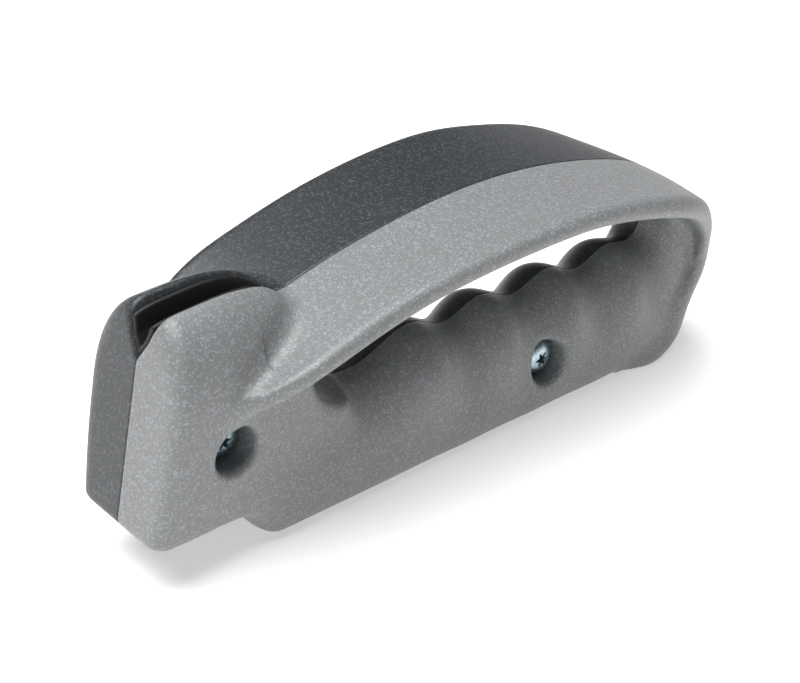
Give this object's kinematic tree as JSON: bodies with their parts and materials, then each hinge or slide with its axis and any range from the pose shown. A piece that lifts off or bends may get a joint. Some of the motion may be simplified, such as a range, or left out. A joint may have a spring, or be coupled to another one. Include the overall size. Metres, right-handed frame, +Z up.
{
  "type": "pull through knife sharpener",
  "caption": "Hand-held pull-through knife sharpener: two-tone moulded case with finger grip and arched guard, and crossed carbide blades in a V slot in its head.",
  "frame": {"origin": "middle of the outline seen from above, on the flat base of the grip", "axes": "+X from the sharpening head towards the tail, +Y from the light half of the case towards the dark half, square to the parting plane, +Z up from the base to the guard"},
  "size_m": [0.1421, 0.0428, 0.0502],
  "materials": {
    "dark_case": "fine matte moulding with a faint metallic fleck",
    "light_case": "fine matte moulding with a faint metallic fleck",
    "black_carrier": "satin black moulding",
    "carbide": "ground dark grey carbide",
    "zinc_steel": "bright zinc plating",
    "brass_insert": "turned brass"
  },
  "bodies": {
    "root": {"dark_shell": "dark_case", "light_shell": "light_case", "blade_carrier": "black_carrier", "front_carbide_blade": "carbide", "rear_carbide_blade": "carbide", "front_case_screw": "zinc_steel", "rear_case_screw": "zinc_steel", "front_threaded_insert": "brass_insert", "rear_threaded_insert": "brass_insert"}
  },
  "joints": []
}
